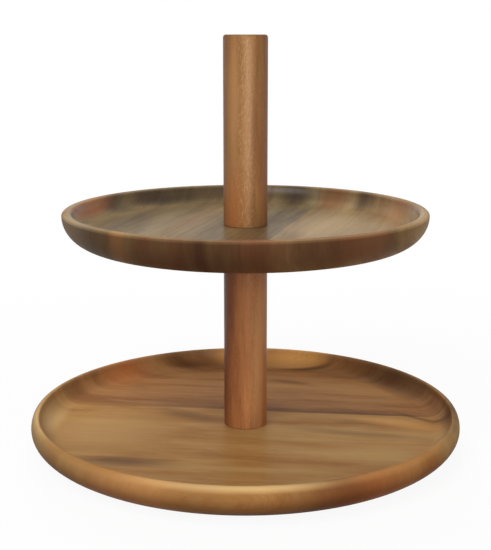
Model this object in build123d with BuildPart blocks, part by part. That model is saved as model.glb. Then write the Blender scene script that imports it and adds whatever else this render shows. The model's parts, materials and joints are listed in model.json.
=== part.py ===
"""Two-tier wooden serving stand: turned dishes on a screwed centre post, with a plain round handle.

Millimetres, +Z up. The origin is on the post's axis, on the table under the foot pads.
"""
import os
from math import atan2, degrees

from build123d import *

# Dishes
LOWER_DIAMETER = 300.0
UPPER_DIAMETER = 249.0
LOWER_HEIGHT = 24.5
UPPER_HEIGHT = 23.5
LOWER_FLOOR = 11.0
UPPER_FLOOR = 12.0
LOWER_SIDE_RUN = 26.0
UPPER_SIDE_RUN = 24.0
LOWER_BELLY = 16.0
UPPER_BELLY = 21.0
LOWER_RIM_OUTSIDE = 4.5
UPPER_RIM_OUTSIDE = 3.5
LOWER_RIM_INSIDE = 1.3
UPPER_RIM_INSIDE = 3.5
COVE_RUN = 13.0

# Posts
POST_DIAMETER = 30.0
LOWER_POST_LENGTH = 131.0
HANDLE_LENGTH = 127.5
HANDLE_TOP_ROUND = 2.0
POST_END_CHAMFER = 0.5

# Screw joints: bolt, stud and insert nuts of one thread
THREAD_DIAMETER = 8.0
THREAD_CLEARANCE = 0.1
THREAD_REACH = 17.5
STUD_ROOT = 20.5
TIP_CHAMFER = 1.0
TIP_ROOM = 4.0
HOLE_CLEARANCE = 0.5
INSERT_WALL = 3.0
INSERT_LENGTH = 18.0
INSERT_RECESS = 0.5
INSERT_LEAD = 1.0
SLOT_WIDTH = 2.0
SLOT_DEPTH = 3.0

# Bolt head and washer under the lower dish
WOOD_OVER_WASHER = 6.0
WASHER_DIAMETER = 20.0
WASHER_THICKNESS = 1.5
WASHER_CLEARANCE = 0.2
HEAD_DIAMETER = 15.0
HEAD_HEIGHT = 3.0
HEAD_EDGE = 0.8
HEX_KEY = 5.0
HEX_DEPTH = 2.2
COUNTERBORE_CLEARANCE = 1.0

# Foot pads
PAD_DIAMETER = 14.0
PAD_HEIGHT = 2.0
PAD_EDGE = 0.7
PAD_INSET = 22.0
PAD_NAMES = ("back_right", "back_left", "front_left", "front_right")

# Levels and radii that follow from the sizes above
lower_base = PAD_HEIGHT
lower_floor = lower_base + LOWER_FLOOR
upper_base = lower_floor + LOWER_POST_LENGTH
upper_floor = upper_base + UPPER_FLOOR
washer_seat = lower_floor - WOOD_OVER_WASHER
head_seat = washer_seat - WASHER_THICKNESS
thread_radius = THREAD_DIAMETER / 2
post_radius = POST_DIAMETER / 2
through_radius = thread_radius + HOLE_CLEARANCE
insert_bore = thread_radius + THREAD_CLEARANCE
insert_radius = insert_bore + INSERT_WALL
insert_depth = INSERT_RECESS + INSERT_LENGTH
counterbore_radius = WASHER_DIAMETER / 2 + COUNTERBORE_CLEARANCE
pad_circle = LOWER_DIAMETER / 2 - LOWER_SIDE_RUN - PAD_INSET

# The post ends that hold insert nuts, each facing out of its post
post_foot = Plane((0, 0, lower_floor), z_dir=(0, 0, -1))
post_head = Plane((0, 0, upper_base))
handle_foot = Plane((0, 0, upper_floor), z_dir=(0, 0, -1))


def turned_dish(base, diameter, height, floor, side_run, belly, rim_outside, rim_inside):
    """Dish turned from one blank: a side that swells to its belly, a rounded rim, and a cove down to the floor."""
    radius = diameter / 2
    foot_edge = radius - side_run
    crown = radius - rim_outside
    floor_edge = crown - rim_inside - COVE_RUN
    # The cove lies flat on the floor at its foot, and meets the rim's inner round without a corner
    cove_reach = COVE_RUN + rim_inside
    depth = height - rim_inside - floor
    cove_radius = (cove_reach**2 + depth**2 - rim_inside**2) / (2 * (depth + rim_inside))
    cove_end = degrees(atan2(depth - cove_radius, cove_reach))
    with BuildPart() as dish:
        with BuildSketch(Plane((0, 0, base), x_dir=(1, 0, 0), z_dir=(0, -1, 0))):
            with BuildLine():
                Polyline((floor_edge, floor), (0, floor), (0, 0), (foot_edge, 0))
                EllipticalCenterArc((foot_edge, belly), side_run, belly, start_angle=-90, arc_size=90)
                EllipticalCenterArc((crown, belly), rim_outside, height - belly, start_angle=0, arc_size=90)
                CenterArc((crown, height - rim_inside), rim_inside, 90, 90 + cove_end)
                CenterArc((floor_edge, floor + cove_radius), cove_radius, -90, 90 + cove_end)
            make_face()
        revolve(axis=Axis.Z)
    return dish.part


def threaded_insert(mouth):
    """Slotted insert nut let into a post end, flush just under the end's face."""
    face = mouth.offset(-INSERT_RECESS)
    with BuildPart() as insert:
        with BuildSketch(face):
            Circle(insert_radius)
            Circle(insert_bore, mode=Mode.SUBTRACT)
        extrude(amount=-INSERT_LENGTH)
        inner_end = insert.faces().sort_by(Axis(face.origin, face.z_dir))[0]
        chamfer(inner_end.edges().sort_by(SortBy.RADIUS)[-1], length=INSERT_LEAD)
        with BuildSketch(face):
            Rectangle(2 * insert_radius, SLOT_WIDTH)
        extrude(amount=-SLOT_DEPTH, mode=Mode.SUBTRACT)
    return insert.part


def finish(piece, name):
    """Label a finished piece and write it under its own name."""
    piece.label = name
    export_step(piece, f"parts/{name}.step")


os.makedirs("parts", exist_ok=True)

# Lower dish, counterbored from below for the bolt head and washer
with BuildPart() as lower_plate:
    add(
        turned_dish(
            lower_base,
            LOWER_DIAMETER,
            LOWER_HEIGHT,
            LOWER_FLOOR,
            LOWER_SIDE_RUN,
            LOWER_BELLY,
            LOWER_RIM_OUTSIDE,
            LOWER_RIM_INSIDE,
        )
    )
    with Locations(Plane((0, 0, lower_base), z_dir=(0, 0, -1))):
        CounterBoreHole(through_radius, counterbore_radius, washer_seat - lower_base, LOWER_FLOOR)
finish(lower_plate.part, "lower_plate")

# Upper dish, with a clearance hole for the stud
with BuildPart() as upper_plate:
    add(
        turned_dish(
            upper_base,
            UPPER_DIAMETER,
            UPPER_HEIGHT,
            UPPER_FLOOR,
            UPPER_SIDE_RUN,
            UPPER_BELLY,
            UPPER_RIM_OUTSIDE,
            UPPER_RIM_INSIDE,
        )
    )
    with Locations((0, 0, upper_floor)):
        Hole(through_radius, UPPER_FLOOR)
finish(upper_plate.part, "upper_plate")

# Lower post, bored at both ends for its insert nuts and the thread beyond them
with BuildPart() as lower_post:
    with BuildSketch(Plane.XY.offset(lower_floor)):
        Circle(post_radius)
    extrude(amount=LOWER_POST_LENGTH)
    chamfer(lower_post.edges().filter_by(GeomType.CIRCLE), length=POST_END_CHAMFER)
    with Locations(post_foot):
        CounterBoreHole(through_radius, insert_radius, insert_depth, THREAD_REACH + TIP_ROOM)
    with Locations(post_head):
        CounterBoreHole(through_radius, insert_radius, insert_depth, STUD_ROOT + TIP_ROOM)
finish(lower_post.part, "lower_post")

# Handle, rounded over at the top and bored at the foot
with BuildPart() as handle:
    with BuildSketch(Plane.XY.offset(upper_floor)):
        Circle(post_radius)
    extrude(amount=HANDLE_LENGTH)
    ends = handle.edges().filter_by(GeomType.CIRCLE).sort_by(Axis.Z)
    chamfer(ends[0], length=POST_END_CHAMFER)
    fillet(ends[-1], radius=HANDLE_TOP_ROUND)
    with Locations(handle_foot):
        CounterBoreHole(through_radius, insert_radius, insert_depth, THREAD_REACH + TIP_ROOM)
finish(handle.part, "handle")

# Insert nuts in the three post ends that take a thread
for insert_name, post_end in (
    ("post_foot_insert", post_foot),
    ("post_head_insert", post_head),
    ("handle_insert", handle_foot),
):
    finish(threaded_insert(post_end), insert_name)

# Stud standing out of the lower post, through the upper dish and into the handle
with BuildPart() as tier_stud:
    with BuildSketch(Plane.XY.offset(upper_base - STUD_ROOT)):
        Circle(thread_radius)
    extrude(amount=STUD_ROOT + UPPER_FLOOR + THREAD_REACH)
    chamfer(tier_stud.edges().filter_by(GeomType.CIRCLE), length=TIP_CHAMFER)
finish(tier_stud.part, "tier_stud")

# Washer at the top of the counterbore
with BuildPart() as base_washer:
    with BuildSketch(Plane.XY.offset(head_seat)):
        Circle(WASHER_DIAMETER / 2)
        Circle(thread_radius + WASHER_CLEARANCE, mode=Mode.SUBTRACT)
    extrude(amount=WASHER_THICKNESS)
finish(base_washer.part, "base_washer")

# Flat-headed bolt with a hex socket, up through the washer and the lower dish
with BuildPart() as base_bolt:
    with BuildSketch(Plane.XY.offset(head_seat)):
        Circle(HEAD_DIAMETER / 2)
    extrude(amount=-HEAD_HEIGHT)
    fillet(base_bolt.edges().filter_by(GeomType.CIRCLE).sort_by(Axis.Z)[0], radius=HEAD_EDGE)
    with BuildSketch(Plane.XY.offset(head_seat)):
        Circle(thread_radius)
    extrude(amount=WASHER_THICKNESS + WOOD_OVER_WASHER + THREAD_REACH)
    chamfer(base_bolt.edges().filter_by(GeomType.CIRCLE).sort_by(Axis.Z)[-1], length=TIP_CHAMFER)
    with BuildSketch(Plane.XY.offset(head_seat - HEAD_HEIGHT)):
        RegularPolygon(HEX_KEY / 2, 6, major_radius=False)
    extrude(amount=HEX_DEPTH, mode=Mode.SUBTRACT)
finish(base_bolt.part, "base_bolt")

# Foot pads, evenly round the flat under the lower dish
for place, pad_name in zip(PolarLocations(pad_circle, len(PAD_NAMES), 45), PAD_NAMES):
    with BuildPart() as foot_pad:
        with BuildSketch(Plane(place.position)):
            Circle(PAD_DIAMETER / 2)
        extrude(amount=PAD_HEIGHT)
        fillet(foot_pad.edges().filter_by(GeomType.CIRCLE).sort_by(Axis.Z)[0], radius=PAD_EDGE)
    finish(foot_pad.part, f"foot_pad_{pad_name}")
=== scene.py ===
"""Two-tier wooden serving stand: turned dishes, posts and screw fittings over the packed solids.

Metres and +Z up, in the frame of the packed model. Wood is laid out in millimetres of its grain.
"""
import json
import math
from collections import namedtuple

import bmesh
import bpy
from bpy.props import FloatProperty, FloatVectorProperty, PointerProperty
from bpy.types import NodeSocket, Operator, Panel, PropertyGroup
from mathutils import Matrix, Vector

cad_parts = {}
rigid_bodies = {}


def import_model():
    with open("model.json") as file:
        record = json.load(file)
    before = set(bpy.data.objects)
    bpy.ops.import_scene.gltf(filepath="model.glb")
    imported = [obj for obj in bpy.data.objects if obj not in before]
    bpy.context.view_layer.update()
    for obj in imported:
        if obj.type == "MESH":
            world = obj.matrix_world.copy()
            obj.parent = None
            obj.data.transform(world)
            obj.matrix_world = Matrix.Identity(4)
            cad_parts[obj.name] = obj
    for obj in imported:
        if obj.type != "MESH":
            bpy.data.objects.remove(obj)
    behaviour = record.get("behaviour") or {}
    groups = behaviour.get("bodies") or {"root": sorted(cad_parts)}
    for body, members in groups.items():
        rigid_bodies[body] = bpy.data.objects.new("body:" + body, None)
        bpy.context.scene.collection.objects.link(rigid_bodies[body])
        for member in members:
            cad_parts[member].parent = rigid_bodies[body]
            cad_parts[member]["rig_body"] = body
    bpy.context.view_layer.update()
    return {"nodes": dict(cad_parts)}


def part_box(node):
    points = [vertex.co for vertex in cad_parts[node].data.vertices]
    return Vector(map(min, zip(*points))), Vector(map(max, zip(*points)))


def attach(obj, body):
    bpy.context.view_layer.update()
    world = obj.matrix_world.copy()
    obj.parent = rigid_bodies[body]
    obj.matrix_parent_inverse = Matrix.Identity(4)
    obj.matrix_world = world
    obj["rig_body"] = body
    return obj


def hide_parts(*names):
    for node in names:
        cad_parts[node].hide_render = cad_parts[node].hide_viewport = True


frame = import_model()

bl_info = {
    "name": "Two-tier wooden serving stand",
    "version": (1, 0, 0),
    "blender": (4, 5, 0),
    "location": "3D View > Sidebar > Stand",
    "description": "Dresses the packed stand: acacia dishes, posts, screw fittings and studio",
    "category": "Object",
}

MM = 0.001
TO_MM = (1000, 1000, 1000)

# Shapes that the dishes, posts and fittings share with the packed solids
COVE_RUN = 13 * MM
THROUGH_RADIUS = 4.5 * MM
COUNTERBORE_RADIUS = 11 * MM
TIP_ROOM = 4 * MM
TIP_CHAMFER = 1 * MM
HEAD_EDGE = 0.8 * MM
HEX_FLATS = 6
# Shapes that the solids leave out: broken edges of the holes, and the thread's depth as a share of
# its pitch
ARRIS = 0.3 * MM
THREAD_DEPTH = 0.52

# Meshing: sides round the axis, steps along each arc of a section, and rings that part wide flats
DISH_SIDES = 256
POST_SIDES = 96
THREAD_SIDES = 48
SIDE_STEPS = 20
RIM_STEPS = 12
LIP_STEPS = 10
COVE_STEPS = 14
TOP_STEPS = 8
HEAD_STEPS = 6
FLOOR_RINGS = (0.8, 0.6, 0.4, 0.2)
TOP_RING = 0.5
UNDER_RING = COUNTERBORE_RADIUS * 4
# Lengths that count as nothing and as one place, how far down a face looks that is underneath a
# dish, and the sharpest corner that is shaded smooth
NOTHING = 1e-9
WELD = 1e-7
UNDERNEATH = -0.5
SMOOTH_ANGLE = math.radians(32)

# A soft streak or patch in a board: its middle and half lengths along and across the grain (mm),
# its strength and its slant
Mark = namedtuple("Mark", "tone along across reach breadth strength slant", defaults=(0,))
# A plank of a glued-up blank: the tones of its grain, and where it starts across the grain (mm)
Board = namedtuple("Board", "dark mid light start")
# What a dish is turned from: its boards, the marks that run through it, and those that show
# outside only or lie on the rim, which are mostly painted light and shade
Blank = namedtuple("Blank", "boards marks wall_marks rim_marks")
# A layer of a wood's figure: its weight, its lengths along, across and into the grain (mm), its
# detail and its roughness
Layer = namedtuple("Layer", "weight along across into detail roughness", defaults=(0.5,))

# Layers that bend the grain, by their weight in mm
SWAY = Layer(18.0, 240, 70, 120, 1.5)
RIPPLE = Layer(4.0, 60, 24, 60, 1.0)
# Layers that make the tone, and the pores that darken it
BROAD = Layer(0.52, 320, 26, 110, 2.0)
LINES = Layer(0.06, 150, 2.4, 60, 3.0, 0.6)
FIBRES = Layer(0.12, 12, 0.8, 8, 2.0, 0.6)
CLOUDS = Layer(0.3, 50, 11, 40, 3.0, 0.6)
PORES = Layer(0.22, 9, 0.5, 5, 1.0)
# How far each next board's figure is moved along the grain (mm)
BOARD_SHIFT = 391.0
# Where each part of a wood comes in: the two ends of the span that it is read over, then the
# strengths there, as far as they are fixed
TONE_SPAN = (0.31, 0.69)
RAGGED_SPAN = (0.62, 0.4, 0.75, 1.0)
JOINT_SPAN = (1.2, 0.1, 0.0, 0.2)
PORE_SPAN = (0.58, 0.72, 0.0, PORES.weight)
MARK_SPAN = (1.0, 0.1, 0.0)
END_SPAN = (0.1, 0.95, 0.0)
WALL_SPAN = (0.55, 0.1, 0.0)
POLISH_SPAN = (0.3, 0.7)
# What end grain and the painted shade of sides leave of a wood's colour
END_GRAIN_AND_SHADE_TINT = (0.42, 0.38, 0.36)
PAINTED_SHADE_TINT = (0.34, 0.24, 0.24)
# How near the rim's top its wear and painted highlight are full (mm)
RIM_TOP = 0.3

# Oiled surfaces: shares of the lines and the pores in the relief, its strength and depth, and the
# roughness and gloss
LINE_RELIEF = 0.6
PORE_RELIEF = 0.4
WOOD_RELIEF = (0.12, 0.3 * MM)
ROUGHNESS_SWING = 0.05
INSIDE_ROUGHNESS = 0.36
OUTSIDE_ROUGHNESS = 0.55
POST_ROUGHNESS = 0.42
POST_GLOSS = 0.16

# Posts: how fine their figure is, and their flecks' slant, lengths (mm), reach (mm), least strength
# and span
POST_FINE = 0.4
FLECK_SLANT = -0.22
FLECK_SIZE = (0.6, 1.4, 2.6)
FLECK_REACH = 8.0
FLECK_LEAST = 0.1
FLECK_SPAN = (0.5, 0.68)

# Metal and rubber: lengths of their clouds and grains (mm), the clouds' shade and span, the grains'
# strength and depth, and the roughness and gloss
METAL_CLOUD = (5, 5, 5)
METAL_SPECK = (0.5, 0.5, 0.5)
METAL_SHADE = (0.72, 0.72, 0.72)
METAL_SPAN = (0.35, 0.65)
METAL_RELIEF = (0.08, 0.05 * MM)
METAL_WEAR = 0.12
STEEL_ROUGHNESS = 0.28
ZINC_ROUGHNESS = 0.42
RUBBER_BLOOM = (4, 4, 4)
RUBBER_PEBBLE = (0.35, 0.35, 0.35)
RUBBER_PALE = (1.7, 1.7, 1.7)
RUBBER_SPAN = (0.4, 0.75)
RUBBER_RELIEF = (0.25, 0.1 * MM)
RUBBER_ROUGHNESS = (0.7, 0.85)
RUBBER_GLOSS = 0.3

# Studio: where the lamps aim, the floor's and the backdrop's tones, where the floor's shadow fades
# (mm from the middle), and where the backdrop fades over the horizon
STAND_FOOT = (0, 0, 0.1)
PALE = (0.9, 0.9, 0.9)
WHITE = (1, 1, 1, 1)
SHADOW_SPAN = (250.0, 700.0)
HORIZON_SPAN = (0.06, 0.3)


def srgb(red, green, blue):
    """Linear colour of an everyday 0 to 255 one."""
    shares = (red / 255, green / 255, blue / 255)
    return tuple(s / 12.92 if s <= 0.04045 else ((s + 0.055) / 1.055) ** 2.4 for s in shares)


def size_of(node, axis):
    """Length of a packed solid along one axis."""
    low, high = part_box(node)
    return high[axis] - low[axis]


def length(name, description, value):
    """A length that the user may change."""
    return FloatProperty(
        name=name, description=description, default=value, min=0, precision=5, unit="LENGTH"
    )


def colour(name, description, red, green, blue):
    """A colour that the user may change."""
    tone = srgb(red, green, blue)
    return FloatVectorProperty(
        name=name, description=description, default=tone, min=0, max=1, subtype="COLOR"
    )


def angle(name, description, degrees):
    """An angle that the user may change."""
    turn = math.radians(degrees)
    return FloatProperty(name=name, description=description, default=turn, subtype="ANGLE")


def facing(name, description, value):
    """How far a surface faces up, from -1 for down to 1 for up, that the user may change."""
    return FloatProperty(name=name, description=description, default=value, min=-1, max=1)


def lamp_power(name, description, watts):
    """A lamp's power that the user may change."""
    return FloatProperty(name=name, description=description, default=watts, min=0, unit="POWER")


def share(name, description, value):
    """A number from nought to one that the user may change."""
    return FloatProperty(
        name=name, description=description, default=value, min=0, max=1, subtype="FACTOR"
    )


class LowerDishSettings(PropertyGroup):
    """Sizes and wood of the wide dish."""

    diameter: length("Diameter", "Across the rim", size_of("lower_plate", 0))
    height: length("Height", "From the flat underneath to the rim", size_of("lower_plate", 2))
    floor: length("Floor", "Thickness of the wood under the floor", 11 * MM)
    side_run: length("Side run", "How far the side swells out from the flat underneath", 26 * MM)
    belly: length("Belly", "Height of the widest place over the flat underneath", 16 * MM)
    rim_outside: length("Rim outside", "From the widest place in to the rim's crown", 4.5 * MM)
    rim_inside: length("Rim inside", "Rounding of the rim's inner edge", 1.3 * MM)
    grain_angle: angle("Grain angle", "Turn of the grain from left to right", -7)
    golden_dark: colour("Golden dark", "Late lines of the front board", 146, 98, 50)
    golden: colour("Golden", "Main tone of the front board", 172, 125, 71)
    golden_light: colour("Golden light", "Early wood of the front board", 190, 150, 94)
    russet_dark: colour("Russet dark", "Late lines of the back board", 126, 81, 48)
    russet: colour("Russet", "Main tone of the back board", 164, 115, 70)
    russet_light: colour("Russet light", "Early wood of the back board", 184, 136, 86)
    # Also laid as painted shade: the back crease, the right cove, low on the front wall, the rim's
    # right
    heart: colour("Heartwood", "Dark streaks", 78, 49, 33)
    ash: colour("Ash streak", "Greyish streaks", 96, 68, 48)
    honey: colour("Honey patch", "Light patches", 232, 172, 98)
    flame: colour("Flame patch", "Orange patches", 182, 104, 56)
    # Pale tone: on the rim partly wear and partly a painted highlight; in marks, painted light
    wear_and_highlight: colour("Worn rim", "Rim rubbed pale", 226, 192, 134)
    wear_and_highlight_depth: length("Worn depth", "How far down from its top the rim is rubbed", 4.5 * MM)
    rim_wear_and_highlight: share("Rim wear", "How far the rim is rubbed pale", 0.12)
    # End shade is partly darker end grain and partly painted shade on the walls where the grain
    # ends
    end_grain_and_painted_shade: share("End shade", "How much darker end grain is", 0.45)
    # Wall and under shade are painted shade: the inside darker where steep, the outside as it turns
    # down
    painted_wall_shade: share("Wall shade", "How much darker the inside is where its wall is steep", 0.2)
    painted_under_shade: share("Under shade", "How much darker the outside is under the rim", 0.7)
    painted_shade_start: facing("Shade start", "Facing at which the outside starts to darken", 0.8)
    painted_shade_full: facing("Shade full", "Facing at which the outside is darkest", -0.5)
    inner_gloss: share("Inner gloss", "Sheen of the inside", 0.1)
    outer_gloss: share("Outer gloss", "Sheen of the outside", 0.03)


class UpperDishSettings(PropertyGroup):
    """Sizes and wood of the small dish."""

    diameter: length("Diameter", "Across the rim", size_of("upper_plate", 0))
    height: length("Height", "From the flat underneath to the rim", size_of("upper_plate", 2))
    floor: length("Floor", "Thickness of the wood under the floor", 12 * MM)
    side_run: length("Side run", "How far the side swells out from the flat underneath", 24 * MM)
    belly: length("Belly", "Height of the widest place over the flat underneath", 21 * MM)
    rim_outside: length("Rim outside", "From the widest place in to the rim's crown", 3.5 * MM)
    rim_inside: length("Rim inside", "Rounding of the rim's inner edge", 3.5 * MM)
    grain_angle: angle("Grain angle", "Turn of the grain from left to right", -105)
    amber_dark: colour("Amber dark", "Late lines of the left board", 138, 90, 56)
    amber: colour("Amber", "Main tone of the left board", 166, 113, 72)
    amber_light: colour("Amber light", "Early wood of the left board", 186, 138, 92)
    # The middle board's greyish tones stand in partly for painted sheen on the floor
    umber_dark: colour("Umber dark", "Late lines of the middle board", 100, 80, 54)
    umber: colour("Umber", "Main tone of the middle board", 136, 114, 76)
    umber_light: colour("Umber light", "Early wood of the middle board", 164, 142, 101)
    tan_dark: colour("Tan dark", "Late lines of the right board", 120, 90, 58)
    tan: colour("Tan", "Main tone of the right board", 160, 130, 86)
    tan_light: colour("Tan light", "Early wood of the right board", 186, 157, 112)
    heart: colour("Heartwood", "Dark streaks", 60, 47, 38)
    russet: colour("Russet streak", "Red-brown streaks", 122, 76, 52)
    # Also laid on the far left of the outside, partly grey tone and partly painted sheen
    ash: colour("Ash streak", "Greyish streaks", 158, 142, 118)
    honey: colour("Honey streak", "Light streaks", 166, 126, 84)
    # Pale tone: on the rim partly wear and partly a painted highlight; in marks, painted light
    wear_and_highlight: colour("Worn rim", "Rim rubbed pale", 186, 158, 120)
    wear_and_highlight_depth: length("Worn depth", "How far down from its top the rim is rubbed", 1.2 * MM)
    rim_wear_and_highlight: share("Rim wear", "How far the rim is rubbed pale", 0.3)
    # End shade is partly darker end grain and partly painted shade on the walls where the grain
    # ends
    end_grain_and_painted_shade: share("End shade", "How much darker end grain is", 0.75)
    # Wall and under shade are painted shade: the inside darker where steep, the outside as it turns
    # down
    painted_wall_shade: share("Wall shade", "How much darker the inside is where its wall is steep", 0.78)
    painted_under_shade: share("Under shade", "How much darker the outside is under the rim", 0.52)
    painted_shade_start: facing("Shade start", "Facing at which the outside starts to darken", 0.5)
    painted_shade_full: facing("Shade full", "Facing at which the outside is darkest", 0.0)
    inner_gloss: share("Inner gloss", "Sheen of the inside", 0.42)
    outer_gloss: share("Outer gloss", "Sheen of the outside", 0.03)


class PostSettings(PropertyGroup):
    """Sizes and wood of the lower post and the handle."""

    diameter: length("Diameter", "Across the posts", size_of("lower_post", 0))
    top_round: length("Top round", "Rounding of the handle's top edge", 2 * MM)
    end_chamfer: length("End chamfer", "Broken edge at the other post ends", 0.5 * MM)
    post_dark: colour("Post dark", "Late lines of the lower post", 118, 70, 40)
    post_mid: colour("Post", "Main tone of the lower post", 150, 95, 55)
    post_light: colour("Post light", "Early wood of the lower post", 176, 118, 70)
    handle_dark: colour("Handle dark", "Late lines of the handle", 112, 73, 42)
    handle_mid: colour("Handle", "Main tone of the handle", 134, 93, 54)
    handle_light: colour("Handle light", "Early wood of the handle", 150, 108, 67)
    # Heartwood and honey are also laid on the lower post as painted shadow, shade and light
    heart: colour("Heartwood", "Red-brown streaks", 112, 60, 38)
    honey: colour("Honey streak", "Light streaks", 190, 142, 92)
    flame: colour("Flame streak", "Orange streaks", 164, 96, 52)
    fleck: colour("Fleck", "Pale flecks", 174, 134, 90)


class FittingSettings(PropertyGroup):
    """Sizes and metals of the screw fittings, and the rubber of the pads."""

    thread_diameter: length("Thread diameter", "Over the thread's crests", 8 * MM)
    pitch: length("Pitch", "Rise of one turn of the thread", 1.25 * MM)
    hex_key: length("Hex key", "Across the flats of the bolt's socket", 5 * MM)
    hex_depth: length("Hex depth", "Depth of the bolt's socket", 2.2 * MM)
    steel: colour("Steel", "Zinc-plated bolt, stud and washer", 184, 186, 188)
    zinc: colour("Zinc", "Cast insert nuts", 168, 164, 156)
    rubber: colour("Rubber", "Foot pads", 46, 42, 39)


class StudioSettings(PropertyGroup):
    """Floor, lamps and camera."""

    floor_reach: length("Floor reach", "Half the floor's width", 6.0)
    floor_tone: share("Floor tone", "How much light the floor throws back", 0.35)
    shadow: share("Shadow", "Share of the floor's brightness by the stand that lamps give", 0.08)
    ambient: share("Ambient", "Strength of the even light from all round", 0.24)
    key_power: lamp_power("Key", "Overhead softbox", 12.5)
    fill_power: lamp_power("Fill", "Soft light at the front", 18)
    back_power: lamp_power("Back", "Soft light behind the stand", 9)
    camera_away: length("Camera distance", "From the stand's axis to the lens", 747.4 * MM)
    camera_height: length("Camera height", "Of the lens over the table", 282.4 * MM)
    camera_pitch: angle("Camera pitch", "How far the camera looks down", 12.21)
    focal_length: FloatProperty(
        name="Lens", description="Focal length", default=72.24, min=1, unit="CAMERA"
    )


class Finish:
    """One material, built a node at a time. Each method returns the socket that it makes."""

    def __init__(self, name):
        self.material = bpy.data.materials.new(name)
        self.material.use_nodes = True
        self.tree = self.material.node_tree
        self.shader = next(n for n in self.tree.nodes if n.type == "BSDF_PRINCIPLED")

    def add(self, kind, **settings):
        """A node with these settings."""
        node = self.tree.nodes.new(kind)
        for key, value in settings.items():
            setattr(node, key, value)
        return node

    def feed(self, socket, value):
        """Link a socket to a socket, or set it."""
        if isinstance(value, NodeSocket):
            self.tree.links.new(value, socket)
        elif socket.type == "RGBA":
            socket.default_value = (*value, 1.0)
        else:
            socket.default_value = value

    def set(self, **inputs):
        """Feed the shader's own sockets, named with _ for spaces."""
        for name, value in inputs.items():
            self.feed(self.shader.inputs[name.replace("_", " ")], value)

    def math(self, operation, *values):
        """A sum on numbers."""
        node = self.add("ShaderNodeMath", operation=operation)
        for socket, value in zip(node.inputs, values):
            self.feed(socket, value)
        return node.outputs[0]

    def vector(self, operation, *values):
        """A sum on vectors."""
        node = self.add("ShaderNodeVectorMath", operation=operation)
        for socket, value in zip(node.inputs, values):
            self.feed(socket, value)
        return node.outputs[0]

    def turn(self, value, angles):
        """A vector turned by these angles."""
        node = self.add("ShaderNodeMapping", vector_type="POINT")
        self.feed(node.inputs["Vector"], value)
        self.feed(node.inputs["Rotation"], angles)
        return node.outputs[0]

    def span(self, value):
        """Length of a vector."""
        node = self.add("ShaderNodeVectorMath", operation="LENGTH")
        self.feed(node.inputs[0], value)
        return node.outputs["Value"]

    def split(self, value):
        """The three parts of a vector."""
        node = self.add("ShaderNodeSeparateXYZ")
        self.feed(node.inputs[0], value)
        return node.outputs

    def join(self, x, y, z):
        """A vector of three parts."""
        node = self.add("ShaderNodeCombineXYZ")
        for socket, value in zip(node.inputs, (x, y, z)):
            self.feed(socket, value)
        return node.outputs[0]

    def spread(self, value, low, high, to_low=0.0, to_high=1.0):
        """A number taken smoothly from one span to another, and kept inside it."""
        node = self.add("ShaderNodeMapRange", interpolation_type="SMOOTHSTEP", clamp=True)
        for socket, part in zip(node.inputs, (value, low, high, to_low, to_high)):
            self.feed(socket, part)
        return node.outputs[0]

    def noise(self, place, stretch, detail=2.0, roughness=0.5):
        """Cloudy noise with features of these lengths (mm)."""
        node = self.add("ShaderNodeTexNoise", noise_dimensions="3D", normalize=True)
        self.feed(node.inputs["Vector"], self.vector("DIVIDE", place, stretch))
        self.feed(node.inputs["Scale"], 1.0)
        self.feed(node.inputs["Detail"], detail)
        self.feed(node.inputs["Roughness"], roughness)
        return node.outputs[0]

    def layer(self, place, layer, fine=1.0):
        """Noise of one layer of a wood's figure, made smaller across the grain by fine."""
        stretch = (layer.along, layer.across * fine, layer.into * fine)
        return self.noise(place, stretch, layer.detail, layer.roughness)

    def mix(self, factor, under, over):
        """One colour laid over another."""
        node = self.add("ShaderNodeMix", data_type="RGBA", clamp_factor=True)
        for index, value in ((0, factor), (6, under), (7, over)):
            self.feed(node.inputs[index], value)
        return node.outputs[2]

    def ramp(self, factor, *stops):
        """Colours spread evenly along a number."""
        node = self.add("ShaderNodeValToRGB")
        self.feed(node.inputs[0], factor)
        elements = node.color_ramp.elements
        while len(elements) < len(stops):
            elements.new(0.5)
        for index, (element, tone) in enumerate(zip(elements, stops)):
            element.position = index / (len(stops) - 1)
            element.color = (*tone, 1.0)
        return node.outputs[0]

    def bump(self, height, strength, distance):
        """Fine relief of the surface, into the shader."""
        node = self.add("ShaderNodeBump")
        self.feed(node.inputs["Strength"], strength)
        self.feed(node.inputs["Distance"], distance)
        self.feed(node.inputs["Height"], height)
        self.feed(self.shader.inputs["Normal"], node.outputs[0])

    def place(self):
        """Place on the piece, in millimetres of the shared frame."""
        node = self.add("ShaderNodeTexCoord")
        return self.vector("MULTIPLY", node.outputs["Object"], TO_MM)


def inside_mark(finish, along, across, mark):
    """How far a place in the grain lies inside a mark, from nought to the mark's strength."""
    off_along = finish.math("SUBTRACT", along, mark.along)
    off_across = finish.math("SUBTRACT", across, mark.across)
    off_across = finish.math("MULTIPLY_ADD", off_along, -mark.slant, off_across)
    far_along = finish.math("DIVIDE", off_along, mark.reach)
    far_across = finish.math("DIVIDE", off_across, mark.breadth)
    far = finish.span(finish.join(far_along, far_across, 0.0))
    return finish.spread(far, *MARK_SPAN, mark.strength)


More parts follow.
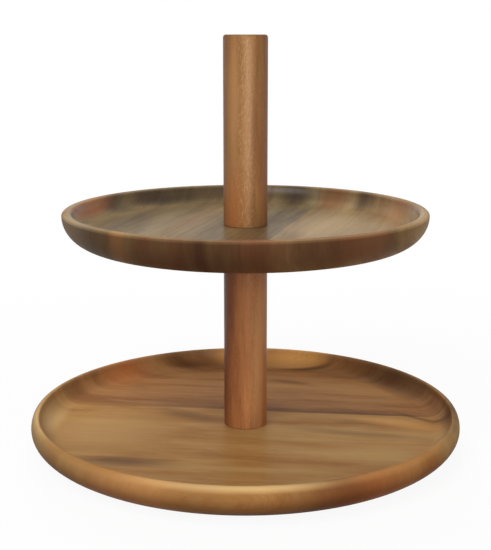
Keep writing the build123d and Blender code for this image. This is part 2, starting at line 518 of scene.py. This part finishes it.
def lay_grain(finish, along, across, depth, boards, marks, joint_tone=None, fine=1.0):
    """Wood of one or more boards: flowing figure, lines, pores and listed marks.

    along, across and depth are places in the grain (mm), and fine makes the figure smaller across
    the grain. Returns the wood's colour, its lines and its pores.
    """
    board = 0.0
    for plank in boards[1:]:
        board = finish.math("ADD", board, finish.math("GREATER_THAN", across, plank.start))
    shifted = finish.math("MULTIPLY_ADD", board, BOARD_SHIFT, along)
    plain = finish.join(shifted, across, depth)
    bent = across
    for layer in (SWAY, RIPPLE):
        off = finish.math("SUBTRACT", finish.layer(plain, layer), 0.5)
        bent = finish.math("MULTIPLY_ADD", off, layer.weight, bent)
    grain = finish.join(shifted, bent, depth)
    broad = finish.layer(grain, BROAD, fine)
    lines = finish.layer(grain, LINES, fine)
    fibres = finish.layer(grain, FIBRES)
    clouds = finish.layer(plain, CLOUDS, fine)
    figure = finish.math("MULTIPLY", broad, BROAD.weight)
    for part, layer in ((lines, LINES), (fibres, FIBRES), (clouds, CLOUDS)):
        figure = finish.math("MULTIPLY_ADD", part, layer.weight, figure)
    tone = finish.spread(figure, *TONE_SPAN)
    wood = finish.ramp(tone, boards[0].dark, boards[0].mid, boards[0].light)
    for plank in boards[1:]:
        here = finish.math("GREATER_THAN", across, plank.start)
        wood = finish.mix(here, wood, finish.ramp(tone, plank.dark, plank.mid, plank.light))
    ragged = finish.spread(figure, *RAGGED_SPAN)
    for mark in marks:
        inside = finish.math("MULTIPLY", inside_mark(finish, along, bent, mark), ragged)
        wood = finish.mix(inside, wood, mark.tone)
    if joint_tone:
        for plank in boards[1:]:
            beside = finish.math("ABSOLUTE", finish.math("SUBTRACT", across, plank.start))
            wood = finish.mix(finish.spread(beside, *JOINT_SPAN), wood, joint_tone)
    pores = finish.layer(grain, PORES)
    wood = finish.mix(finish.spread(pores, *PORE_SPAN), wood, boards[0].dark)
    return wood, lines, pores


def oil_wood(finish, wood, lines, pores, gloss, roughness):
    """An oiled surface over the wood's colour, with the grain just felt."""
    raised = finish.math("MULTIPLY", lines, LINE_RELIEF)
    sunk = finish.math("MULTIPLY", pores, PORE_RELIEF)
    finish.bump(finish.math("SUBTRACT", raised, sunk), *WOOD_RELIEF)
    swing = (roughness + ROUGHNESS_SWING, roughness - ROUGHNESS_SWING)
    finish.set(Base_Color=wood, Roughness=finish.spread(lines, *POLISH_SPAN, *swing))
    finish.set(Specular_IOR_Level=gloss)
    return finish.material


def dish_wood(name, settings, rim_level, blank, outside):
    """Wood of a dish turned from a flat glued-up blank: satin inside, duller outside.

    Painted shade darkens the outside as it turns down, the inside wall where it is steep, and the
    wall where the grain ends in it, partly as end grain is darker. The rim is laid pale, partly as
    wear and partly as a painted highlight.
    """
    finish = Finish(name)
    grain_turn = (0, 0, -settings.grain_angle)
    coordinates = finish.add("ShaderNodeTexCoord")
    place = finish.turn(coordinates.outputs["Object"], grain_turn)
    along, across, depth = finish.split(finish.vector("MULTIPLY", place, TO_MM))
    wood, lines, pores = lay_grain(
        finish, along, across, depth, blank.boards, blank.marks, settings.heart
    )
    # Outside-only marks: some tone, most painted light, sheen and shade on the wall
    for mark in blank.wall_marks if outside else ():
        wood = finish.mix(inside_mark(finish, along, across, mark), wood, mark.tone)
    facing_way = finish.turn(coordinates.outputs["Normal"], grain_turn)
    end_facing, _, up_facing = finish.split(facing_way)
    # Darker where the grain ends in a face: partly end grain, partly painted shade
    ends = finish.spread(finish.math("ABSOLUTE", end_facing), *END_SPAN, settings.end_grain_and_painted_shade)
    wood = finish.mix(ends, wood, finish.vector("MULTIPLY", wood, END_GRAIN_AND_SHADE_TINT))
    if outside:
        painted_shade_span = (settings.painted_shade_start, settings.painted_shade_full, 0.0, settings.painted_under_shade)
        gloss, roughness = settings.outer_gloss, OUTSIDE_ROUGHNESS
    else:
        painted_shade_span = (*WALL_SPAN, settings.painted_wall_shade)
        gloss, roughness = settings.inner_gloss, INSIDE_ROUGHNESS
    # Painted shade by the way a face points: the outside as it turns down, the inside wall where
    # steep
    shaded = finish.spread(up_facing, *painted_shade_span)
    wood = finish.mix(shaded, wood, finish.vector("MULTIPLY", wood, PAINTED_SHADE_TINT))
    wear_and_highlight_from = (rim_level - settings.wear_and_highlight_depth) / MM
    # The rim's top is laid pale: partly wear, partly a painted highlight
    near_top = finish.spread(depth, wear_and_highlight_from, rim_level / MM - RIM_TOP)
    wood = finish.mix(finish.math("MULTIPLY", near_top, settings.rim_wear_and_highlight), wood, settings.wear_and_highlight)
    # Rim marks, mostly painted light and shade, laid on the rim's top
    for mark in blank.rim_marks:
        rubbed = finish.math("MULTIPLY", inside_mark(finish, along, across, mark), near_top)
        wood = finish.mix(rubbed, wood, mark.tone)
    return oil_wood(finish, wood, lines, pores, gloss, roughness)


def post_wood(name, board, marks, fleck_tone, flecks_at, fleck_strength):
    """Wood of an upright turned post, with its grain along Z and pale flecks down one side."""
    finish = Finish(name)
    x, y, z = finish.split(finish.place())
    wood, lines, pores = lay_grain(finish, z, x, y, (board,), marks, fine=POST_FINE)
    slanted = finish.join(finish.math("MULTIPLY_ADD", z, FLECK_SLANT, x), y, z)
    flecks = finish.noise(slanted, FLECK_SIZE, detail=1.0)
    off_side = finish.math("ABSOLUTE", finish.math("SUBTRACT", x, flecks_at))
    centred = finish.spread(off_side, FLECK_REACH, 0.0, FLECK_LEAST, fleck_strength)
    pale = finish.math("MULTIPLY", finish.spread(flecks, *FLECK_SPAN), centred)
    wood = finish.mix(pale, wood, fleck_tone)
    return oil_wood(finish, wood, lines, pores, POST_GLOSS, POST_ROUGHNESS)


def plated_metal(name, tone, roughness):
    """Plated or cast metal with faint cloudy wear."""
    finish = Finish(name)
    place = finish.place()
    cloud = finish.noise(place, METAL_CLOUD, detail=3.0, roughness=0.6)
    specks = finish.noise(place, METAL_SPECK, detail=2.0)
    shade = finish.vector("MULTIPLY", tone, METAL_SHADE)
    finish.set(Base_Color=finish.mix(finish.spread(cloud, *METAL_SPAN), shade, tone), Metallic=1.0)
    finish.set(Roughness=finish.spread(cloud, *POLISH_SPAN, roughness + METAL_WEAR, roughness))
    finish.bump(specks, *METAL_RELIEF)
    return finish.material


def soft_rubber(name, tone):
    """Matt rubber with a fine moulded grain."""
    finish = Finish(name)
    place = finish.place()
    bloom = finish.noise(place, RUBBER_BLOOM, detail=3.0)
    pebbles = finish.noise(place, RUBBER_PEBBLE, detail=1.0)
    pale = finish.vector("MULTIPLY", tone, RUBBER_PALE)
    finish.set(Base_Color=finish.mix(finish.spread(bloom, *RUBBER_SPAN), tone, pale))
    finish.set(Roughness=finish.spread(bloom, *POLISH_SPAN, *RUBBER_ROUGHNESS))
    finish.set(Specular_IOR_Level=RUBBER_GLOSS)
    finish.bump(pebbles, *RUBBER_RELIEF)
    return finish.material


def paint(piece, material):
    """Give a packed solid its finish."""
    piece.data.materials.clear()
    piece.data.materials.append(material)


def arc(centre, across, up, start, end, steps):
    """Points (radius from the axis, height) along an oval arc of two half widths, ends included."""
    turns = [math.radians(start + (end - start) * step / steps) for step in range(steps + 1)]
    return [(centre[0] + across * math.cos(a), centre[1] + up * math.sin(a)) for a in turns]


def ring(mesh, radius, height, sides):
    """Points of a bmesh evenly round the axis."""
    turns = [math.tau * side / sides for side in range(sides)]
    return [mesh.verts.new((radius * math.cos(a), radius * math.sin(a), height)) for a in turns]


def lathe(profile, sides, closed):
    """Turn a profile of (radius, height) round Z; one that isn't closed ends on the axis."""
    mesh = bmesh.new()
    rows = []
    for radius, height in profile:
        if radius < NOTHING:
            rows.append([mesh.verts.new((0, 0, height))])
        else:
            rows.append(ring(mesh, radius, height, sides))
    join_rows(mesh, rows, sides, closed)
    return mesh


def join_rows(mesh, rows, sides, closed):
    """Faces between each row of points and the next, round the axis."""
    followers = rows[1:] + rows[:1] if closed else rows[1:]
    for low, high in zip(rows, followers):
        for side in range(sides):
            after = (side + 1) % sides
            corners = [low[place % len(low)] for place in (side, after)]
            corners += [high[place % len(high)] for place in (after, side)]
            mesh.faces.new(list(dict.fromkeys(corners)))


def add_piece(name, mesh, materials, node):
    """Make an object of a bmesh that stands for a packed solid, moves with it and has finishes."""
    bmesh.ops.remove_doubles(mesh, verts=mesh.verts, dist=WELD)
    bmesh.ops.recalc_face_normals(mesh, faces=mesh.faces)
    data = bpy.data.meshes.new(name)
    mesh.to_mesh(data)
    mesh.free()
    for material in materials:
        data.materials.append(material)
    data.polygons.foreach_set("use_smooth", [True] * len(data.polygons))
    data.set_sharp_from_angle(angle=SMOOTH_ANGLE)
    piece = bpy.data.objects.new(name, data)
    bpy.context.scene.collection.objects.link(piece)
    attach(piece, frame["nodes"][node]["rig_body"])
    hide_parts(node)


def dish_profile(base, settings, opening):
    """Section of a turned dish, from its foot over the rim to its middle, and the opening there."""
    radius = settings.diameter / 2
    height, floor, belly = settings.height, settings.floor, settings.belly
    side_run, rim_outside, lip = settings.side_run, settings.rim_outside, settings.rim_inside
    crown = radius - rim_outside
    floor_edge = crown - lip - COVE_RUN
    # The cove lies flat on the floor at its foot, and meets the rim's inner round without a corner
    cove_reach = COVE_RUN + lip
    depth = height - lip - floor
    cove = (cove_reach**2 + depth**2 - lip**2) / (2 * (depth + lip))
    cove_end = math.degrees(math.atan2(depth - cove, cove_reach))
    section = arc((radius - side_run, belly), side_run, belly, -90, 0, SIDE_STEPS)
    section += arc((crown, belly), rim_outside, height - belly, 0, 90, RIM_STEPS)[1:]
    section += arc((crown, height - lip), lip, lip, 90, 180 + cove_end, LIP_STEPS)[1:]
    section += arc((floor_edge, floor + cove), cove, cove, cove_end, -90, COVE_STEPS)[1:]
    section += [(floor_edge * part, floor) for part in FLOOR_RINGS]
    return [(r, base + z) for r, z in section] + opening


def add_dish(name, node, settings, opening, blank):
    """Turn a dish with an opening at its middle, and its own finish and painted shade inside and
    out.
    """
    low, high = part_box(node)
    mesh = lathe(dish_profile(low.z, settings, opening), DISH_SIDES, closed=True)
    crown = settings.diameter / 2 - settings.rim_outside
    mesh.normal_update()
    for face in mesh.faces:
        away = face.calc_center_median().xy.length
        face.material_index = int(away > crown or face.normal.z < UNDERNEATH)
    finishes = [
        dish_wood(f"{name}_{side}", settings, high.z, blank, side == "outside")
        for side in ("inside", "outside")
    ]
    add_piece(name, mesh, finishes, node)


class STAND_OT_lower_dish(Operator):
    """Turn the wide dish, counterbored underneath for the bolt."""

    bl_idname = "stand.lower_dish"
    bl_label = "Lower dish"

    def execute(self, context):
        settings = context.scene.stand_lower
        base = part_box("lower_plate")[0].z
        floor = base + settings.floor
        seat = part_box("base_washer")[1].z
        opening = [
            (THROUGH_RADIUS + ARRIS, floor),
            (THROUGH_RADIUS, floor - ARRIS),
            (THROUGH_RADIUS, seat),
            (COUNTERBORE_RADIUS, seat),
            (COUNTERBORE_RADIUS, base + ARRIS),
            (COUNTERBORE_RADIUS + ARRIS, base),
            (UNDER_RING, base),
        ]
        boards = (
            Board(settings.golden_dark, settings.golden, settings.golden_light, None),
            Board(settings.russet_dark, settings.russet, settings.russet_light, 27),
        )
        marks = (
            Mark(settings.ash, 0, 31, 190, 8, 0.55),
            Mark(settings.ash, 75, 28, 70, 4, 0.5),
            Mark(settings.honey, 110, 9, 54, 12, 0.5, -0.28),
            Mark(settings.heart, 82, -12, 72, 7, 0.5, -0.1),
            Mark(settings.heart, 126, 20, 30, 5, 0.6, -0.69),
            Mark(settings.ash, -72, -86, 52, 14, 0.85),
            Mark(settings.ash, -42, 9, 42, 13, 0.5, -0.42),
            Mark(settings.heart, 26, 97, 28, 9, 0.55, -0.33),
            Mark(settings.russet_dark, -10, 122, 120, 36, 0.6),
            Mark(settings.flame, -120, 92, 38, 30, 0.75),
            Mark(settings.heart, -68, 122, 34, 7, 0.6, 0.4),
            Mark(settings.heart, 94, 106, 34, 14, 0.65, -0.6),
            Mark(settings.heart, 112, 86, 34, 24, 0.75, -1.0),
            Mark(settings.honey, 38, 142, 66, 15, 1.0),
            Mark(settings.honey, -32, 143, 34, 13, 1.0),
            # Painted shade: a dark line in the crease at the back wall's foot
            Mark(settings.heart, 34, 131, 36, 3, 0.85),
            Mark(settings.golden_light, -98, -30, 74, 58, 0.7),
            Mark(settings.golden_light, 95, -48, 60, 28, 0.8),
            # Painted light at the left cove's foot, and painted shade on the right cove
            Mark(settings.wear_and_highlight, -139, -22, 13, 58, 0.5),
            Mark(settings.heart, 144, 10, 8, 40, 0.6),
        )
        # Pale marks: painted light and sheen on the left and ends; the low dark one: painted shade
        # at the front's foot; russet and flame: tone, with painted shade on the right
        wall_marks = (
            Mark(settings.russet_dark, 88, -126, 80, 40, 0.6),
            Mark(settings.flame, 100, -108, 60, 26, 0.4, 0.85),
            Mark(settings.wear_and_highlight, -86, -114, 80, 26, 0.25, -0.64),
            Mark(settings.flame, -58, -134, 48, 18, 0.3, -0.44),
            Mark(settings.heart, 34, -135, 80, 13, 0.75, 0.2),
            Mark(settings.wear_and_highlight, -134, -62, 22, 34, 0.5, -2.0),
            Mark(settings.wear_and_highlight, 142, -46, 10, 30, 0.3, 3.0),
        )
        # Painted shade darkens the rim at the left and right; a painted highlight lies on its front
        rim_marks = (
            Mark(settings.golden_dark, -90, -115, 60, 26, 0.6, -0.75),
            Mark(settings.golden_dark, 112, -94, 50, 24, 0.45, 1.1),
            Mark(settings.wear_and_highlight, 20, -145, 88, 26, 0.5),
            Mark(settings.heart, 142, -20, 20, 70, 0.5),
        )
        blank = Blank(boards, marks, wall_marks, rim_marks)
        add_dish("lower_dish", "lower_plate", settings, opening, blank)
        return {"FINISHED"}


class STAND_OT_upper_dish(Operator):
    """Turn the small dish, with a clearance hole for the stud."""

    bl_idname = "stand.upper_dish"
    bl_label = "Upper dish"

    def execute(self, context):
        settings = context.scene.stand_upper
        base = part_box("upper_plate")[0].z
        floor = base + settings.floor
        opening = [
            (THROUGH_RADIUS + ARRIS, floor),
            (THROUGH_RADIUS, floor - ARRIS),
            (THROUGH_RADIUS, base + ARRIS),
            (THROUGH_RADIUS + ARRIS, base),
            (UNDER_RING, base),
        ]
        boards = (
            Board(settings.amber_dark, settings.amber, settings.amber_light, None),
            Board(settings.umber_dark, settings.umber, settings.umber_light, -110.5),
            Board(settings.tan_dark, settings.tan, settings.tan_light, 29),
        )
        marks = (
            Mark(settings.honey, -10, -40, 130, 18, 0.4),
            Mark(settings.amber_light, 112, -50, 24, 9, 1.0),
            Mark(settings.heart, -74, -86, 44, 15, 0.9, -0.85),
            Mark(settings.ash, 84, -92, 44, 24, 0.8),
            Mark(settings.heart, -36, -107, 26, 14, 0.8),
            Mark(settings.heart, 122, 4, 27, 8, 0.6),
            Mark(settings.russet, 56, 17, 44, 17, 0.4),
            Mark(settings.russet, 118, 40, 30, 22, 0.6),
            Mark(settings.russet, 115, -15, 32, 15, 0.6),
            Mark(settings.heart, -50, 24, 70, 8, 0.45),
            Mark(settings.tan_light, -10, 60, 80, 34, 0.75),
            Mark(settings.amber, -108, 42, 30, 17, 0.7),
            Mark(settings.heart, -98, 66, 30, 12, 0.75),
            Mark(settings.amber_dark, -62, 84, 36, 11, 0.45),
            Mark(settings.amber, -62, 97, 36, 14, 0.75),
            Mark(settings.amber, -14, 99, 46, 14, 0.6),
            Mark(settings.heart, 118, 66, 26, 10, 0.55),
            Mark(settings.russet, 106, 88, 34, 15, 0.65),
            Mark(settings.heart, 98, 78, 30, 16, 0.45),
            Mark(settings.heart, 58, 107, 18, 8, 0.65),
            Mark(settings.heart, -114, 9, 20, 18, 0.55),
        )
        # Pale marks: painted sheen at the ends; ash: grey tone and painted sheen; russet: tone,
        # with painted shade on the front
        wall_marks = (
            Mark(settings.russet, 100, 20, 60, 130, 0.45),
            Mark(settings.russet, 66, 101, 22, 16, 0.7),
            Mark(settings.ash, 90, -80, 26, 18, 0.55, 0.9),
            Mark(settings.russet, 118, -30, 26, 13, 0.65),
            Mark(settings.russet, 82, 92, 20, 15, 0.65, -0.9),
            Mark(settings.wear_and_highlight, 70, -103, 34, 14, 0.6, 0.7),
            Mark(settings.wear_and_highlight, 8, 122, 36, 14, 0.5),
        )
        # The pale marks are a painted highlight on the rim; the russet one reddens it
        rim_marks = (
            Mark(settings.wear_and_highlight, -10, 122, 80, 24, 0.75),
            Mark(settings.wear_and_highlight, 20, -122, 70, 20, 0.5),
            Mark(settings.russet, 119, 32, 20, 26, 0.7),
        )
        blank = Blank(boards, marks, wall_marks, rim_marks)
        add_dish("upper_dish", "upper_plate", settings, opening, blank)
        return {"FINISHED"}


def post_bore(end, insert, tip):
    """Section of the blind hole in a post's end, from its bottom out: thread's room, then nut's."""
    outward = 1 if end > tip else -1
    low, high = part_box(insert)
    inner = low.z if outward > 0 else high.z
    nut_radius = (high.x - low.x) / 2
    return [
        (0, tip),
        (THROUGH_RADIUS, tip),
        (THROUGH_RADIUS, inner),
        (nut_radius, inner),
        (nut_radius, end - outward * ARRIS),
        (nut_radius + ARRIS, end),
    ]


def add_post(name, node, profile, wood):
    """Turn a post of this section."""
    mesh = lathe(profile, POST_SIDES, closed=False)
    add_piece(name, mesh, [wood], node)


class STAND_OT_posts(Operator):
    """Turn the lower post and the handle, bored for their insert nuts."""

    bl_idname = "stand.posts"
    bl_label = "Post and handle"

    def execute(self, context):
        settings = context.scene.stand_posts
        radius = settings.diameter / 2
        chamfer = settings.end_chamfer
        foot, head = (corner.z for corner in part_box("lower_post"))
        bolt_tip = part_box("base_bolt")[1].z + TIP_ROOM
        stud_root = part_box("tier_stud")[0].z - TIP_ROOM
        profile = post_bore(foot, "post_foot_insert", bolt_tip)
        profile += [(radius - chamfer, foot), (radius, foot + chamfer)]
        profile += [(radius, head - chamfer), (radius - chamfer, head)]
        profile += reversed(post_bore(head, "post_head_insert", stud_root))
        board = Board(settings.post_dark, settings.post_mid, settings.post_light, None)
        marks = (
            # Painted shade down the left and painted light down the right; the wide dark band at
            # the top is the upper dish's painted shadow
            Mark(settings.heart, 80, -12, 110, 9, 0.9),
            Mark(settings.honey, 66, 7, 100, 5, 0.5),
            Mark(settings.heart, 40, -4, 60, 4, 0.35),
            Mark(settings.heart, 160, 0, 62, 60, 0.75),
        )
        wood = post_wood(
            "lower_post_wood", board, marks, settings.fleck, flecks_at=5, fleck_strength=0.3
        )
        add_post("centre_post", "lower_post", profile, wood)

        foot, top = (corner.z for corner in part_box("handle"))
        stud_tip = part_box("tier_stud")[1].z + TIP_ROOM
        profile = post_bore(foot, "handle_insert", stud_tip)
        profile += [(radius - chamfer, foot), (radius, foot + chamfer)]
        rounding = settings.top_round
        shoulder = (radius - rounding, top - rounding)
        profile += arc(shoulder, rounding, rounding, 0, 90, TOP_STEPS)
        profile += [(radius * TOP_RING, top), (0, top)]
        board = Board(settings.handle_dark, settings.handle_mid, settings.handle_light, None)
        marks = (
            Mark(settings.honey, 230, 1, 110, 5, 0.35),
            Mark(settings.heart, 200, 12, 110, 6, 0.55),
            Mark(settings.flame, 166, -7, 44, 9, 0.5),
            Mark(settings.honey, 240, -8, 90, 5, 0.4),
        )
        wood = post_wood(
            "handle_wood", board, marks, settings.fleck, flecks_at=0, fleck_strength=0.6
        )
        add_post("grip_handle", "handle", profile, wood)
        return {"FINISHED"}


def thread_root(settings):
    """Radius at the bottom of the thread."""
    return settings.thread_diameter / 2 - THREAD_DEPTH * settings.pitch


def cut_thread(low, high, settings, low_chamfer, high_chamfer):
    """Screw thread round Z between two heights, tapered off at 45 degrees and open at its ends."""
    mesh = bmesh.new()
    crest = settings.thread_diameter / 2
    root = thread_root(settings)
    # Share of the pitch, and radius there
    steps = ((0.0, root), (0.2, root), (0.45, crest), (0.6, crest), (0.85, root))
    turns = math.ceil((high - low) / settings.pitch) + 2
    rows = []
    for turn in range(turns):
        for part, radius in steps:
            row = []
            for side in range(THREAD_SIDES + 1):
                height = low + settings.pitch * (turn - 1 + part + side / THREAD_SIDES)
                height = min(max(height, low), high)
                over_low, under_high = height - low, high - height
                limit = min(crest - low_chamfer + over_low, crest - high_chamfer + under_high)
                reach = min(limit, root if height in (low, high) else radius)
                a = math.tau * side / THREAD_SIDES
                row.append((reach * math.cos(a), reach * math.sin(a), height))
            rows.append(row)
    for below, above in zip(rows, rows[1:]):
        for side in range(THREAD_SIDES):
            corners = [below[side], below[side + 1], above[side + 1], above[side]]
            levels = [corner[2] for corner in corners]
            if max(levels) - min(levels) < NOTHING:
                continue
            mesh.faces.new([mesh.verts.new(corner) for corner in corners])
    bmesh.ops.remove_doubles(mesh, verts=mesh.verts, dist=WELD)
    return mesh


def cap_thread(mesh, above):
    """Close the open ends of a thread that lie over a height."""
    open_edges = [e for e in mesh.edges if e.is_boundary and e.verts[0].co.z > above]
    bmesh.ops.holes_fill(mesh, edges=open_edges)


def hex_ring(mesh, flats, height):
    """Points of a bmesh round a hexagon of this half width across its flats."""
    flat_turn = math.tau / HEX_FLATS
    points = []
    for side in range(THREAD_SIDES):
        a = math.tau * side / THREAD_SIDES
        reach = flats / math.cos((a % flat_turn) - flat_turn / 2)
        points.append(mesh.verts.new((reach * math.cos(a), reach * math.sin(a), height)))
    return points


class STAND_OT_fittings(Operator):
    """Cut the bolt and the stud, and plate the washer and the insert nuts."""

    bl_idname = "stand.fittings"
    bl_label = "Screw fittings"

    def execute(self, context):
        settings = context.scene.stand_fittings
        steel = plated_metal("zinc_plated_steel", tuple(settings.steel), STEEL_ROUGHNESS)
        zinc = plated_metal("cast_zinc", tuple(settings.zinc), ZINC_ROUGHNESS)

        low, high = (corner.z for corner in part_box("tier_stud"))
        mesh = cut_thread(low, high, settings, TIP_CHAMFER, TIP_CHAMFER)
        cap_thread(mesh, low - TIP_CHAMFER)
        add_piece("threaded_stud", mesh, [steel], "tier_stud")

        bottom, tip = (corner.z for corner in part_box("base_bolt"))
        head_radius = size_of("base_bolt", 0) / 2
        under_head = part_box("base_washer")[0].z
        mesh = cut_thread(under_head, tip, settings, 0.0, TIP_CHAMFER)
        cap_thread(mesh, tip - TIP_CHAMFER)
        socket = bottom + settings.hex_depth
        rows = [[mesh.verts.new((0, 0, socket))]]
        rows += [hex_ring(mesh, settings.hex_key / 2, height) for height in (socket, bottom)]
        edge_centre = (head_radius - HEAD_EDGE, bottom + HEAD_EDGE)
        outline = arc(edge_centre, HEAD_EDGE, HEAD_EDGE, -90, 0, HEAD_STEPS)
        outline += [(head_radius, under_head), (thread_root(settings), under_head)]
        rows += [ring(mesh, radius, height, THREAD_SIDES) for radius, height in outline]
        join_rows(mesh, rows, THREAD_SIDES, closed=False)
        add_piece("socket_bolt", mesh, [steel], "base_bolt")

        paint(frame["nodes"]["base_washer"], steel)
        for insert in ("post_foot_insert", "post_head_insert", "handle_insert"):
            paint(frame["nodes"][insert], zinc)
        return {"FINISHED"}


class STAND_OT_pads(Operator):
    """Finish the four foot pads in rubber."""

    bl_idname = "stand.pads"
    bl_label = "Foot pads"

    def execute(self, context):
        rubber = soft_rubber("pad_rubber", tuple(context.scene.stand_fittings.rubber))
        for name, node in frame["nodes"].items():
            if name.startswith("foot_pad"):
                paint(node, rubber)
        return {"FINISHED"}


def add_softbox(name, place, aim, width, power, mirrored=True):
    """A square soft lamp at a place, aimed at a point, that may show in glossy finishes."""
    lamp = bpy.data.lights.new(name, "AREA")
    lamp.size = width
    lamp.energy = power
    holder = bpy.data.objects.new(name, lamp)
    holder.visible_glossy = mirrored
    holder.location = place
    holder.rotation_euler = (Vector(aim) - Vector(place)).to_track_quat("-Z", "Y").to_euler()
    bpy.context.scene.collection.objects.link(holder)


def seen_directly(tree):
    """One where a ray comes straight from the camera or through a mirror or glass, else nought."""
    path = tree.nodes.new("ShaderNodeLightPath")
    either = path.outputs["Is Camera Ray"]
    for name in ("Is Glossy Ray", "Is Transmission Ray"):
        most = tree.nodes.new("ShaderNodeMath")
        most.operation = "MAXIMUM"
        tree.links.new(either, most.inputs[0])
        tree.links.new(path.outputs[name], most.inputs[1])
        either = most.outputs[0]
    return either


def backdrop_strength(tree, above):
    """White up to a little over the horizon, as a backdrop is, and dimmer overhead."""
    direction = tree.nodes.new("ShaderNodeTexCoord")
    split = tree.nodes.new("ShaderNodeSeparateXYZ")
    tree.links.new(direction.outputs["Generated"], split.inputs[0])
    fade = tree.nodes.new("ShaderNodeMapRange")
    fade.interpolation_type = "SMOOTHSTEP"
    tree.links.new(split.outputs["Z"], fade.inputs["Value"])
    names = ("From Min", "From Max", "To Min", "To Max")
    for name, value in zip(names, (*HORIZON_SPAN, 1.0, above)):
        fade.inputs[name].default_value = value
    return fade.outputs[0]


def studio_world(ambient):
    """Even light from all round, behind a white backdrop."""
    world = bpy.data.worlds.new("studio_world")
    world.use_nodes = True
    tree = world.node_tree
    even = next(n for n in tree.nodes if n.type == "BACKGROUND")
    even.inputs["Color"].default_value = WHITE
    even.inputs["Strength"].default_value = ambient
    white = tree.nodes.new("ShaderNodeBackground")
    white.inputs["Color"].default_value = WHITE
    tree.links.new(backdrop_strength(tree, ambient), white.inputs["Strength"])
    choose = tree.nodes.new("ShaderNodeMixShader")
    tree.links.new(seen_directly(tree), choose.inputs[0])
    tree.links.new(even.outputs[0], choose.inputs[1])
    tree.links.new(white.outputs[0], choose.inputs[2])
    output = next(n for n in tree.nodes if n.type == "OUTPUT_WORLD")
    tree.links.new(choose.outputs[0], output.inputs["Surface"])
    return world


def floor_finish(settings):
    """Pale floor: white to the camera but for a soft shadow, and duller as it lights the stand."""
    finish = Finish("studio_floor")
    tree = finish.tree
    dull = finish.add("ShaderNodeBsdfDiffuse")
    finish.feed(dull.inputs["Color"], (settings.floor_tone,) * 3)
    pale = finish.add("ShaderNodeBsdfDiffuse")
    finish.feed(pale.inputs["Color"], PALE)
    white = finish.add("ShaderNodeEmission")
    near = finish.spread(finish.span(finish.place()), *SHADOW_SPAN, settings.shadow, 0.0)
    seen = finish.add("ShaderNodeMixShader")
    finish.feed(seen.inputs[0], near)
    tree.links.new(white.outputs[0], seen.inputs[1])
    tree.links.new(pale.outputs[0], seen.inputs[2])
    choose = finish.add("ShaderNodeMixShader")
    finish.feed(choose.inputs[0], seen_directly(tree))
    tree.links.new(dull.outputs[0], choose.inputs[1])
    tree.links.new(seen.outputs[0], choose.inputs[2])
    output = next(n for n in tree.nodes if n.type == "OUTPUT_MATERIAL")
    tree.links.new(choose.outputs[0], output.inputs["Surface"])
    tree.nodes.remove(finish.shader)
    return finish.material


class STAND_OT_stage(Operator):
    """Set up the pale floor, the soft light and the camera."""

    bl_idname = "stand.stage"
    bl_label = "Studio"

    def execute(self, context):
        scene = context.scene
        settings = scene.stand_studio
        scene.view_settings.view_transform = "Standard"

        reach = settings.floor_reach
        data = bpy.data.meshes.new("studio_floor")
        corners = [(-reach, -reach, 0), (reach, -reach, 0), (reach, reach, 0), (-reach, reach, 0)]
        data.from_pydata(corners, [], [(0, 1, 2, 3)])
        data.materials.append(floor_finish(settings))
        floor = bpy.data.objects.new("studio_floor", data)
        scene.collection.objects.link(floor)

        scene.world = studio_world(settings.ambient)
        add_softbox(
            "overhead_softbox",
            place=(-0.45, -0.95, 1.05),
            aim=STAND_FOOT,
            width=0.9,
            power=settings.key_power,
        )
        add_softbox(
            "front_softbox",
            place=(0.5, -1.6, 0.32),
            aim=STAND_FOOT,
            width=0.8,
            power=settings.fill_power,
        )
        add_softbox(
            "back_softbox",
            place=(-0.1, 1.0, 0.95),
            aim=(0, 0.05, 0.03),
            width=0.9,
            power=settings.back_power,
            mirrored=False,
        )

        lens = bpy.data.cameras.new("studio_camera")
        lens.lens = settings.focal_length
        camera = bpy.data.objects.new("studio_camera", lens)
        camera.location = (0, -settings.camera_away, settings.camera_height)
        camera.rotation_euler = (math.pi / 2 - settings.camera_pitch, 0, 0)
        scene.collection.objects.link(camera)
        scene.camera = camera
        return {"FINISHED"}


class STAND_PT_panel(Panel):
    """The stand's pieces, in the order in which they are built, and the settings that they take."""

    bl_idname = "STAND_PT_panel"
    bl_label = "Serving stand"
    bl_space_type = "VIEW_3D"
    bl_region_type = "UI"
    bl_category = "Stand"

    def draw(self, context):
        for operator in OPERATORS:
            self.layout.operator(operator.bl_idname)
        for name, group in SETTINGS.items():
            box = self.layout.box()
            box.label(text=group.__doc__)
            for setting in group.__annotations__:
                box.prop(getattr(context.scene, name), setting)


SETTINGS = {
    "stand_lower": LowerDishSettings,
    "stand_upper": UpperDishSettings,
    "stand_posts": PostSettings,
    "stand_fittings": FittingSettings,
    "stand_studio": StudioSettings,
}
OPERATORS = (
    STAND_OT_lower_dish,
    STAND_OT_upper_dish,
    STAND_OT_posts,
    STAND_OT_fittings,
    STAND_OT_pads,
    STAND_OT_stage,
)
CLASSES = (*SETTINGS.values(), *OPERATORS, STAND_PT_panel)


def register():
    """Add the classes and the scene's settings."""
    for cls in CLASSES:
        bpy.utils.register_class(cls)
    for name, group in SETTINGS.items():
        setattr(bpy.types.Scene, name, PointerProperty(type=group))


def unregister():
    """Take the settings and the classes out again."""
    for name in SETTINGS:
        delattr(bpy.types.Scene, name)
    for cls in reversed(CLASSES):
        bpy.utils.unregister_class(cls)


def main():
    """Build every piece and the studio."""
    register()
    bpy.ops.stand.lower_dish()
    bpy.ops.stand.upper_dish()
    bpy.ops.stand.posts()
    bpy.ops.stand.fittings()
    bpy.ops.stand.pads()
    bpy.ops.stand.stage()


if __name__ == "__main__":
    main()
